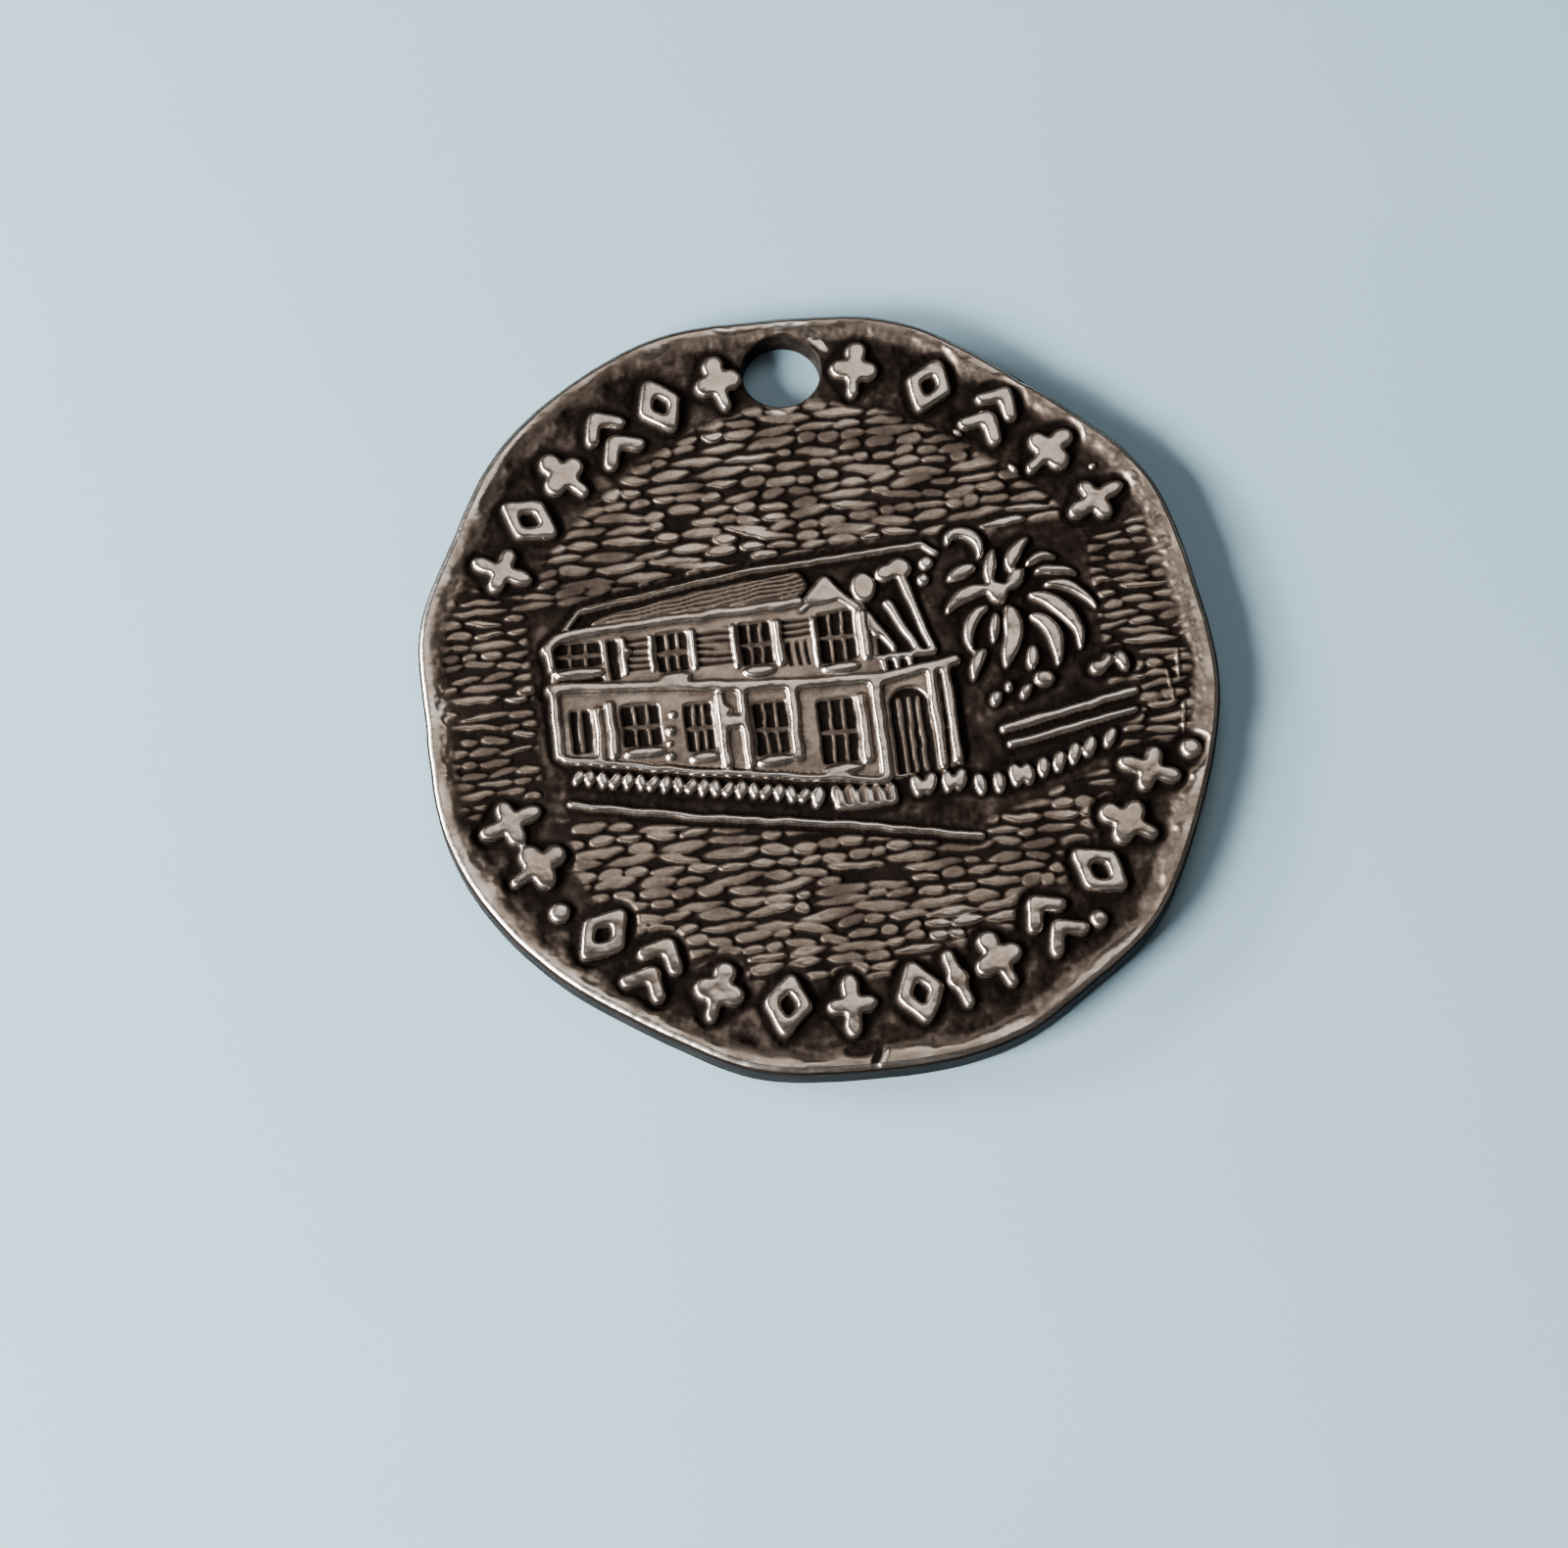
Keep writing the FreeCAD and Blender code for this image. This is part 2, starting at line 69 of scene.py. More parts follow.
STEP = 0.045                       # spacing of the face grid
EDGE_ROUND = 0.28                  # rounding of the medal's edge, front and back
HOLE_LIP = 0.09                    # rounding of the ring hole's edges
RECORD = {m["name"]: m for m in frame["record"]["mounts"]}
HOLE_Y = RECORD["ring_hole"]["pos_m"][1] / MM
HOLE_R = RECORD["ring_hole"]["dims"]["r_mm"]
FIELD_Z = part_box("planchet")[1].z / MM
TOP_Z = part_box("rim_border")[1].z / MM
HALF_SPAN = math.ceil(max(-CAD_LOW.x, CAD_HIGH.x, -CAD_LOW.y, CAD_HIGH.y) / MM) + 0.5

GRID = int(2 * HALF_SPAN / STEP) + 1
AXIS = -HALF_SPAN + STEP * np.arange(GRID)
X, Y = np.meshgrid(AXIS, AXIS)     # row j runs along +X at height AXIS[j]
RADIUS = np.hypot(X, Y)
ANGLE = np.arctan2(Y, X)


# ---------- reading the CAD plan ----------

FLAT_AREA = 1e-7                   # triangles smaller than this in plan stand upright
ON_LINE = -1e-9                    # points this near a triangle's side count as inside it
OUTLINE_CORE = 14                  # the whole outline lies further out than this
OUTLINE_SAMPLES = 3600
OUTLINE_BLUR = 14                  # in samples of the outline, so 1.4 degrees


def triangles(name):
    """Corners of a CAD node's triangles, in millimetres, as an array of (n, 3, 3)."""
    mesh = frame["nodes"][name].data
    mesh.calc_loop_triangles()
    points = np.empty(len(mesh.vertices) * 3, np.float32)
    mesh.vertices.foreach_get("co", points)
    corners = np.empty(len(mesh.loop_triangles) * 3, np.int32)
    mesh.loop_triangles.foreach_get("vertices", corners)
    return points.reshape(-1, 3)[corners.reshape(-1, 3)].astype(float) / MM


def plan_of(name):
    """How much of each grid cell a node's upward faces cover, from 0 to 1."""
    fine = 2 * GRID
    half = STEP / 2
    start = -HALF_SPAN - half / 2
    cover = np.zeros((fine, fine), bool)
    for a, b, c in triangles(name):
        area = (b[0] - a[0]) * (c[1] - a[1]) - (b[1] - a[1]) * (c[0] - a[0])
        if area < FLAT_AREA:
            continue
        low = np.minimum(np.minimum(a, b), c)
        high = np.maximum(np.maximum(a, b), c)
        i0, j0 = (int(math.floor((v - start) / half)) for v in low[:2])
        i1, j1 = (int(math.ceil((v - start) / half)) + 1 for v in high[:2])
        x, y = np.meshgrid(start + half * np.arange(i0, i1), start + half * np.arange(j0, j1))
        inside = np.ones(x.shape, bool)
        for p, q in ((a, b), (b, c), (c, a)):
            inside &= (q[0] - p[0]) * (y - p[1]) - (q[1] - p[1]) * (x - p[0]) >= ON_LINE
        cover[j0:j1, i0:i1] |= inside
    return cover.reshape(GRID, 2, GRID, 2).mean((1, 3))


def outline_radius():
    """The medal's outline as radii at even angles, read from the planchet's upper edge."""
    points = triangles("planchet").reshape(-1, 3)
    points = points[(points[:, 2] > FIELD_Z - 0.01) & (np.hypot(points[:, 0], points[:, 1]) > OUTLINE_CORE)]
    from_hole = np.hypot(points[:, 0], points[:, 1] - HOLE_Y)
    points = points[from_hole > HOLE_R + 0.05]
    angle = np.arctan2(points[:, 1], points[:, 0])
    order = np.argsort(angle)
    radius = np.hypot(points[:, 0], points[:, 1])[order]
    angle = angle[order]
    even = np.linspace(-np.pi, np.pi, OUTLINE_SAMPLES, endpoint=False)
    found = np.interp(even, angle, radius, period=2 * np.pi)
    reach = 3 * OUTLINE_BLUR
    kernel = np.exp(-0.5 * (np.arange(-reach, reach + 1) / OUTLINE_BLUR) ** 2)
    wrapped = np.concatenate([found[-reach:], found, found[:reach]])
    return even, np.convolve(wrapped, kernel / kernel.sum(), "valid")


OUTLINE = outline_radius()


def edge_at(angle):
    """Outline radius at an angle."""
    return np.interp(angle, OUTLINE[0], OUTLINE[1], period=2 * np.pi)


# ---------- grid tools ----------

FREQ = np.hypot(np.fft.fftfreq(GRID, STEP)[:, None], np.fft.rfftfreq(GRID, STEP)[None, :])


def blur(field, sigma):
    """Gaussian blur, sigma in millimetres."""
    return np.fft.irfft2(np.fft.rfft2(field) * np.exp(-2 * (np.pi * sigma * FREQ) ** 2), (GRID, GRID))


def noise(seed, sigma, stretch=1.0):
    """Smooth noise of unit spread, sigma in millimetres, drawn out along X by stretch."""
    white = np.random.default_rng(seed).standard_normal((GRID, GRID))
    fx = np.fft.rfftfreq(GRID, STEP)[None, :] * stretch
    fy = np.fft.fftfreq(GRID, STEP)[:, None]
    kept = np.exp(-2 * (np.pi * sigma) ** 2 * (fx**2 + fy**2))
    soft = np.fft.irfft2(np.fft.rfft2(white) * kept, (GRID, GRID))
    return soft / soft.std()


def smooth(low, high, value):
    """0 below low, 1 above high, and an even S between."""
    t = np.clip((value - low) / (high - low), 0, 1)
    return t * t * (3 - 2 * t)


def sample(field, x, y):
    """Field at any points, by bilinear interpolation."""
    u = np.clip((x + HALF_SPAN) / STEP, 0, GRID - 1.001)
    v = np.clip((y + HALF_SPAN) / STEP, 0, GRID - 1.001)
    i, j = u.astype(int), v.astype(int)
    s, t = u - i, v - j
    low = field[j, i] * (1 - s) + field[j, i + 1] * s
    high = field[j + 1, i] * (1 - s) + field[j + 1, i + 1] * s
    return low * (1 - t) + high * t


PEBBLE_POINT = 2.2                 # how blunt a pebble's ends are
PEBBLE_CROWN = 1.35                # above 1, a pebble has a flat crown


def stamp(field, x, y, length, width, height, turn):
    """Raises one domed pebble with pointed ends on the field, keeping whatever is higher."""
    reach = length / 2 + width
    i0, i1 = (int(np.clip((v + HALF_SPAN) / STEP, 0, GRID)) for v in (x - reach, x + reach))
    j0, j1 = (int(np.clip((v + HALF_SPAN) / STEP, 0, GRID)) for v in (y - reach, y + reach))
    px, py = X[j0:j1, i0:i1] - x, Y[j0:j1, i0:i1] - y
    c, s = math.cos(turn), math.sin(turn)
    along = np.abs(px * c + py * s) / (length / 2)
    across = np.abs(-px * s + py * c) / (width / 2)
    dome = np.sqrt(np.clip(1 - along**PEBBLE_POINT - across**2, 0, None))
    bump = height * np.minimum(1, PEBBLE_CROWN * dome)
    field[j0:j1, i0:i1] = np.maximum(field[j0:j1, i0:i1], bump)


# ---------- relief ----------

NODES = [n for n in frame["nodes"] if n != "planchet"]
ORNAMENTS = ("upper_ornaments", "lower_ornaments", "border_pellets")
PICTURE = [n for n in NODES if n not in ORNAMENTS and n != "rim_border"]
PLAN = {name: plan_of(name) for name in NODES}
OUTSIDE = (RADIUS > edge_at(ANGLE) - 0.15).astype(float)

# How each node's plan is rounded: blur, and the share of it at the foot and at the top of the slope.
# Then how bright its top is worn, from 0 (black patina) to 1 (bare metal).
PROFILES = {
    "upper_ornaments": (0.105, 0.38, 0.97, 0.61),
    "lower_ornaments": (0.105, 0.38, 0.97, 0.61),
    "border_pellets": (0.12, 0.35, 1.00, 0.62),
    "house_walls": (0.06, 0.35, 0.90, 0.49),
    "house_windows": (0.045, 0.30, 0.80, 0.26),
    "house_trim": (0.075, 0.32, 0.92, 0.61),
    "house_roof": (0.07, 0.32, 0.92, 0.54),
    "house_balcony": (0.08, 0.28, 0.90, 0.60),
    "palm_tree": (0.10, 0.36, 0.95, 0.60),
    "garden_fence": (0.08, 0.32, 0.90, 0.60),
    "planting_row": (0.085, 0.36, 0.92, 0.64),
    "kerb_line": (0.075, 0.30, 0.85, 0.58),
}
SIDES = smooth(0.78, 0.93, np.abs(np.cos(ANGLE)))    # 1 at the medal's left and right
DEPTH = edge_at(ANGLE) - RADIUS                      # how far in from the outline
WOBBLE = 0.018


def wobbly(field, seed):
    """A field with its edges made slightly uneven, as hand-cut and worn ones are."""
    return sample(field, X + WOBBLE * noise(seed, 0.22), Y + WOBBLE * noise(seed + 1, 0.22))


def mix(base, other, share):
    return base + (other - base) * share


DOME = 0.25                                          # how much of each feature's rise is a soft dome


def share_of(name):
    """A node's plan with its edges rounded as a struck relief's are, from 0 to 1."""
    sigma, foot, crown, _ = PROFILES[name]
    plan = wobbly(PLAN[name], 20)
    slope = np.clip((blur(plan, sigma) - foot) / (crown - foot), 0, 1)
    shoulder = np.sqrt(1 - (1 - slope) ** 2)
    return (1 - DOME) * shoulder + DOME * smooth(0, 1, blur(plan, 2.2 * sigma))


def halo_of(names, spread, low, high):
    """1 close round some nodes, fading to 0."""
    marks = np.clip(sum(PLAN[n] for n in names), 0, 1)
    return smooth(low, high, blur(marks, spread))


LEGEND_HALO = halo_of(ORNAMENTS, 0.32, 0.03, 0.22)
PICTURE_HALO = halo_of(PICTURE, 0.26, 0.04, 0.25)


# side of the rim facing the low key light, where a highlight is painted in
HIGHLIGHT_TURN = math.radians(208)


def painted_highlight_arc(angle):
    """1 along the left and lower left of the edge, where a highlight from the low key light is painted in,
    fading to 0.
    """
    return smooth(-0.1, 0.7, np.cos(angle - HIGHLIGHT_TURN))


def rim_crest():
    """The rim's rounded crest."""
    band = np.clip(PLAN["rim_border"] + OUTSIDE, 0, 1)
    ragged = sample(band, X + 0.13 * noise(28, 0.28), Y + 0.13 * noise(29, 0.28))
    return 0.4 * smooth(0.03, 1.0, blur(ragged, 0.2)) + 0.6 * smooth(0.0, 1.0, blur(ragged, 0.4))


APRON_RISE = 0.17                  # height of the slope inside the crest


def rim_apron():
    """The soft slope inside the crest, which the ornaments' halos bite into."""
    reach = 1.12 + 0.5 * SIDES + 0.2 * noise(15, 0.25)
    return smooth(reach, 0.35, DEPTH) * (1 - LEGEND_HALO)


SHARE = {name: share_of(name) for name in PROFILES}
SHARE["rim_border"] = rim_crest()
APRON = rim_apron()
RISE = {name: (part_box(name)[1].z / MM - FIELD_Z) * SHARE[name] for name in NODES}
RISE["rim_border"] = np.maximum(RISE["rim_border"], APRON_RISE * APRON * (1 + blur(PLAN["rim_border"], 0.35)))

HATCH_PITCH = 0.455                # from one row of pebbles to the next
HATCH_TOP = 0.11                   # height of the highest pebble
HATCH_REACH = 14                   # rows are laid this far above and below the middle
HATCH_ENDS = 15                    # and this far to each side of it
SHORT_PEBBLE = (0.7, 1.3)
LONG_PEBBLE = (1.3, 2.4)
SHORT_SHARE = 0.6
PEBBLE_WIDTH = (0.36, 0.53)
SIDE_NARROWING = 0.22              # pebbles at the medal's left and right are thinner by this share
MISSING_SHARE = 0.02


def hatching():
    """Rows of long pebbles laid like uneven bricks."""
    rng = np.random.default_rng(11)
    drift = 0.11 * noise(14, 1.0, 1.6)
    field = np.zeros((GRID, GRID))
    for k in range(int(-HATCH_REACH / HATCH_PITCH), int(HATCH_REACH / HATCH_PITCH)):
        x = -HATCH_ENDS + rng.uniform(0, 1.5)
        while x < HATCH_ENDS:
            length = rng.uniform(*SHORT_PEBBLE) if rng.random() < SHORT_SHARE else rng.uniform(*LONG_PEBBLE)
            middle = x + length / 2
            row = k * HATCH_PITCH
            y = row + sample(drift, np.array([middle]), np.array([row]))[0] + 0.04 * rng.standard_normal()
            width = rng.uniform(*PEBBLE_WIDTH) * (1 - SIDE_NARROWING * smooth(9.5, 10.5, abs(middle)))
            height = HATCH_TOP * rng.uniform(0.7, 1.0)
            turn = 0.08 * rng.standard_normal()
            if rng.random() > MISSING_SHARE:
                stamp(field, middle, y, length, width, height, turn)
            x += length * 0.92 + rng.uniform(-0.12, 0.14)
    return field


def hatch_mask():
    """Where the field is hatched."""
    inner = smooth(12.0, 11.3, RADIUS - 0.25 * np.sin(5 * ANGLE))
    sides = SIDES * smooth(5.9, 5.2, Y) * smooth(-4.7, -3.9, Y) * smooth(10.4, 10.8, np.abs(X))
    sides = sides * smooth(0.75, 1.15, DEPTH)
    sky = inner * smooth(4.6, 5.3, Y - 0.08 * X)
    ground = inner * smooth(-4.9, -5.6, Y + 0.13 * X - 0.45 * np.maximum(X - 5, 0))
    return np.maximum(np.maximum(sky, ground), sides) * (1 - LEGEND_HALO) * (1 - PICTURE_HALO)


HATCH_MASK = hatch_mask()
HATCH = HATCH_MASK * sample(hatching(), X + 0.05 * noise(24, 0.2), Y + 0.03 * noise(25, 0.2))

# Ruled surfaces: left, bottom, right, top, the lines' turn in degrees, and their pitch
RULED = [
    (-7.1, 1.4, -6.15, 2.85, 0, 0.27),
    (-4.45, 1.3, -3.05, 2.85, 0, 0.29),
    (-1.25, 2.1, -0.1, 2.95, 0, 0.28),
    (-1.25, 1.0, -0.1, 1.95, 90, 0.33),
    (-8.3, 3.3, 0.2, 4.9, 7, 0.18),
    (3.95, -3.7, 4.9, 0.2, 88, 0.3),
    (-0.15, -4.7, 2.45, -3.9, 90, 0.5),
]


def grooves():
    """Wavering grooves of the shingles, shutters and boards, from 0 to 1."""
    waver = 0.035 * noise(26, 0.3)
    cut = np.zeros((GRID, GRID))
    for x0, y0, x1, y1, turn, pitch in RULED:
        a = math.radians(turn)
        across = Y * math.cos(a) - X * math.sin(a) + waver
        lines = smooth(0.35, 0.85, 0.5 + 0.5 * np.cos(2 * math.pi * across / pitch))
        inside = smooth(x0 - 0.05, x0 + 0.05, X) * smooth(x1 + 0.05, x1 - 0.05, X)
        inside = inside * smooth(y0 - 0.05, y0 + 0.05, Y) * smooth(y1 + 0.05, y1 - 0.05, Y)
        cut = np.maximum(cut, lines * inside)
    broken = smooth(-2.7, -1.7, noise(27, 0.16, 2.5))
    faces = np.max([SHARE[name] for name in ("house_walls", "house_roof", "planting_row")], 0)
    faces = faces * (1 - SHARE["house_trim"])
    return cut * broken * faces


GROOVES = grooves()


# Marks of casting and wear, and painted highlights and shade: x, y, length, width, turn in degrees, height,
# brightness
MARKS = [
    (0.45, 14.93, 1.6, 0.32, 0, 0.02, 0.95),       # bright patches above and beside the ring hole, painted highlights raised a little
    (-2.05, 15.0, 1.1, 0.2, -15, 0.02, 0.85),
    (1.42, 14.3, 1.5, 0.4, -50, 0.02, 0.75),
    (-0.4, 11.4, 0.9, 0.24, -15, 0.03, 0.85),
    (-0.1, -13.95, 1.6, 0.7, 8, -0.04, 0.12),      # the nick in the lower rim, a shallow dip darkened with painted shade, and its bright burr
    (0.32, -14.35, 0.9, 0.34, 62, -0.05, 0.05),
    (0.55, -14.5, 1.0, 0.17, 62, 0.08, 0.95),
    (6.4, 9.75, 0.45, 0.26, -50, 0.12, 0.9),       # casting beads among the upper ornaments
    (8.3, 8.0, 0.5, 0.24, -50, 0.12, 0.9),
    (11.3, 7.75, 0.3, 0.26, 20, 0.12, 0.85),
    (13.3, -0.6, 1.3, 0.17, 85, 0.06, 0.5),        # upright scratches by the right rim
    (12.9, -1.4, 1.5, 0.15, 95, 0.05, 0.48),
    (13.2, -2.7, 1.3, 0.17, 80, 0.06, 0.5),
]


def mark_shares():
    """Where each mark lies, from 0 to 1."""
    shares = []
    for x, y, length, width, turn, _, _ in MARKS:
        share = np.zeros((GRID, GRID))
        stamp(share, x, y, length, width, 1.0, math.radians(turn))
        shares.append(share)
    return shares


MARK_SHARES = mark_shares()
CEILING = TOP_Z - 0.03             # heights above this are pressed together, to stay under the CAD's top
HEADROOM = 0.04
HALO_DEPTH = 0.06                  # how much lower the field is close round the relief
GROOVE_DEPTH = 0.055
STRIKE_BLUR = 0.026                # softens the finished relief


def face_height():
    """Height of the whole face above the back, on the grid."""
    grainy = (0.012 * noise(3, 0.07) + 0.014 * noise(4, 0.25)) * (1 - 0.75 * HATCH_MASK)
    bed = FIELD_Z - HALO_DEPTH * np.maximum(LEGEND_HALO, PICTURE_HALO)
    field = bed + grainy + HATCH
    worn = 0.98 + 0.025 * noise(5, 0.25) + 0.03 * noise(6, 0.9)
    others = np.max([RISE[name] for name in NODES if name != "rim_border"], 0) * worn
    rim = RISE["rim_border"] * worn - 0.75 * grainy * smooth(0.1, 0.6, SHARE["rim_border"])
    height = np.maximum(field, bed + others + 0.25 * grainy)
    height = np.maximum(height, field + rim * (1 - 0.7 * HATCH_MASK))
    height = height - GROOVE_DEPTH * GROOVES
    for (_, _, _, _, _, rise, _), share in zip(MARKS, MARK_SHARES):
        height = height + rise * share
    hammered = 0.008 * noise(7, 0.7) + 0.014 * noise(8, 2.2)
    height = blur(height, STRIKE_BLUR) + hammered
    pressed = CEILING + HEADROOM * np.tanh((height - CEILING) / HEADROOM)
    return np.where(height > CEILING, pressed, height)


HEIGHT = face_height()
CAVITY = HEIGHT - blur(HEIGHT, 0.16)                 # below 0 in hollows, above 0 on edges

# How bright each area is worn, on the scale of PROFILES, with the painted rim highlight among them
FIELD_TONE = 0.16
HALO_TONE = 0.03
GAP_TONE = 0.07
HATCH_TONE = 0.485
RECESS_TONE = 0.05
EDGE_SHINE = 0.17                  # how much more than its top a feature's shoulder is worn
RIM_TONE = 0.56
APRON_TONE = 0.41
PAINTED_RIM_HIGHLIGHT = 0.11                # painted highlight: how much brighter the rim's left and lower left are made than the rest of the rim
GROOVE_SHADE = 0.3
CAVITY_SHADE = 1.2


def wear_and_painted_light():
    """0 where dark patina lies, 1 where the metal is worn bright, with highlights painted along the rim's
    left and lower left and by the ring hole, and shade painted in the rim's nick.
    """
    tone = FIELD_TONE + 0.06 * noise(9, 0.35) + 0.05 * noise(10, 0.12)
    tone = mix(tone, GAP_TONE, HATCH_MASK)
    tone = mix(tone, HATCH_TONE + 0.06 * noise(31, 0.3, 2.0), smooth(0.25, 0.8, HATCH / HATCH_TOP))
    streaks = 0.04 * noise(16, 0.16) + 0.04 * noise(33, 0.09, 3.5)
    tone = mix(tone, APRON_TONE + streaks, APRON)
    tone = mix(tone, HALO_TONE, np.maximum(LEGEND_HALO, PICTURE_HALO))
    house = blur(np.clip(PLAN["house_walls"] + PLAN["house_windows"], 0, 1), 0.3)
    tone = mix(tone, RECESS_TONE, smooth(0.4, 0.7, house))
    for name in PROFILES:
        worn_edge = smooth(0.4, 0.7, SHARE[name]) * smooth(0.98, 0.8, SHARE[name])
        tone = mix(tone, PROFILES[name][3] + EDGE_SHINE * worn_edge, smooth(0.1, 0.7, SHARE[name]))
    band = (0.5 + 0.5 * SIDES) * smooth(1.1, 0.75, DEPTH + 0.08 * noise(32, 0.3)) * (1 - LEGEND_HALO)
    band = np.maximum(smooth(0.1, 0.7, SHARE["rim_border"]), band)
    tone = mix(tone, RIM_TONE + 0.04 * noise(19, 0.3) + 0.02 * noise(33, 0.09, 3.5), band)
    # a highlight painted along the rim's left and lower left, facing the low key light
    rim_highlight = painted_highlight_arc(ANGLE) * smooth(0.5 + 0.08 * noise(32, 0.3), 0.2, DEPTH)
    tone = tone + PAINTED_RIM_HIGHLIGHT * rim_highlight
    for (_, _, _, _, _, _, brightness), share in zip(MARKS, MARK_SHARES):
        tone = mix(tone, brightness, share)
    tone = tone - GROOVE_SHADE * GROOVES + CAVITY_SHADE * np.clip(CAVITY, -0.05, 0.05)
    return np.clip(tone + 0.025 * noise(17, 0.35) + 0.012 * noise(18, 0.1), 0, 1)


WEAR_AND_PAINTED_LIGHT = wear_and_painted_light()


EDGE_BAND = 4 * STEP               # beside a loop, where the grid is relaxed
FOOT_HEIGHT = 0.03                 # a node's cells are those that it raises by more than this


def cells_kept():
    """Grid cells well inside the outline and clear of the ring hole."""
    middle_x, middle_y = X[:-1, :-1] + STEP / 2, Y[:-1, :-1] + STEP / 2
    angle = np.arctan2(middle_y, middle_x)
    within = np.hypot(middle_x, middle_y) < edge_at(angle) - EDGE_ROUND
    clear = np.hypot(middle_x, middle_y - HOLE_Y) > HOLE_R + HOLE_LIP
    return within & clear


def corner_ids(cells):
    """The four grid points of each cell, anticlockwise, as flat ids."""
    j, i = np.nonzero(cells)
    first = j * GRID + i
    return np.stack([first, first + 1, first + GRID + 1, first + GRID], 1)


def boundary_loops(quads):
    """Closed runs of grid ids round the kept cells, longest first."""
    edges = np.concatenate([quads[:, [k, (k + 1) % 4]] for k in range(4)])
    key = edges[:, 0].astype(np.int64) * GRID * GRID + edges[:, 1]
    back = edges[:, 1].astype(np.int64) * GRID * GRID + edges[:, 0]
    lone = edges[~np.isin(key, back)]
    following = dict(lone.tolist())
    loops = []
    while following:
        start, here = following.popitem()
        loop = [start]
        while here != start:
            loop.append(here)
            here = following.pop(here)
        loops.append(np.array(loop))
    return sorted(loops, key=len, reverse=True)


def even_out(angles, rounds=12):
    """Evens the spacing of a loop's angles a little, so that none fall back on themselves."""
    run = np.unwrap(angles)
    turn = 2 * np.pi * np.sign(run[-1] - run[0])
    for _ in range(rounds):
        before = np.roll(run, 1)
        before[0] -= turn
        after = np.roll(run, -1)
        after[-1] += turn
        run = (before + 2 * run + after) / 4
    return run


def settle(px, py, fixed, band, rounds=30):
    """Relaxes the grid points in a band so that the cells beside a loop stay even."""
    for _ in range(rounds):
        for p in (px, py):
            mean = (np.roll(p, 1, 0) + np.roll(p, -1, 0) + np.roll(p, 1, 1) + np.roll(p, -1, 1)) / 4
            p[band & ~fixed] = mean[band & ~fixed]


class Face:
    """The face's grid of points and cells, with both of its loops on their true curves."""

    def __init__(self):
        cells = cells_kept()
        quads = corner_ids(cells)
        outer, hole = boundary_loops(quads)[:2]
        px, py = X.copy(), Y.copy()
        turn = even_out(np.arctan2(Y.flat[outer], X.flat[outer]))
        radius = edge_at(turn) - EDGE_ROUND
        px.flat[outer], py.flat[outer] = radius * np.cos(turn), radius * np.sin(turn)
        hole_turn = even_out(np.arctan2(Y.flat[hole] - HOLE_Y, X.flat[hole]))
        reach = HOLE_R + HOLE_LIP
        px.flat[hole], py.flat[hole] = reach * np.cos(hole_turn), HOLE_Y + reach * np.sin(hole_turn)
        fixed = np.zeros((GRID, GRID), bool)
        fixed.flat[outer] = True
        fixed.flat[hole] = True
        used = np.zeros((GRID, GRID), bool)
        used.flat[quads.ravel()] = True
        near = np.abs(RADIUS - edge_at(ANGLE) + EDGE_ROUND) < EDGE_BAND
        near |= np.abs(np.hypot(X, Y - HOLE_Y) - reach) < EDGE_BAND
        settle(px, py, fixed, near & used)
        ids = np.full(GRID * GRID, -1)
        ids[np.unique(quads)] = np.arange(len(np.unique(quads)))
        keep = np.unique(quads)
        self.x, self.y = px.flat[keep], py.flat[keep]
        self.z = sample(HEIGHT, self.x, self.y)
        self.wear_and_painted_light = sample(WEAR_AND_PAINTED_LIGHT, self.x, self.y)
        self.quads = ids[quads]
        self.outer, self.hole = ids[outer], ids[hole]
        self.outer_turn, self.hole_turn = turn, hole_turn
        middle = quads[:, 0]
        self.cell_at = (middle // GRID, middle % GRID)


face = Face()


def cell_labels():
    """Which node each cell belongs to: 0 for the planchet, then 1 more than its place in NODES."""
    j, i = face.cell_at
    strength = np.stack([RISE[name][j, i] for name in NODES])
    label = strength.argmax(0) + 1
    label[strength.max(0) < FOOT_HEIGHT] = 0
    rim = NODES.index("rim_border") + 1
    x, y = X[j, i], Y[j, i]
    label[np.hypot(x, y) > edge_at(np.arctan2(y, x)) - EDGE_ROUND - EDGE_BAND] = rim
    return label


def inner_points(label, which):
    """Face points whose cells all belong to one node, and that aren't on the ring hole."""
    others = np.zeros(len(face.x), bool)
    others[face.quads[label != which].ravel()] = True
    others[face.hole] = True
    mine = np.zeros(len(face.x), bool)
    mine[face.quads[label == which].ravel()] = True
    return mine & ~others


def thin_cells_given_up(label):
    """Gives cells with no inner point back to the planchet, so that every node's mesh has thickness."""
    for _ in range(20):
        inner = np.zeros(len(face.x), bool)
        for which in range(1, len(NODES) + 1):
            inner |= inner_points(label, which)
        thin = (label > 0) & ~inner[face.quads].any(1)
        if not thin.any():
            break
        label[thin] = 0
    return label, inner


LABEL, INNER = thin_cells_given_up(cell_labels())


# ---------- the rest of the medal ----------

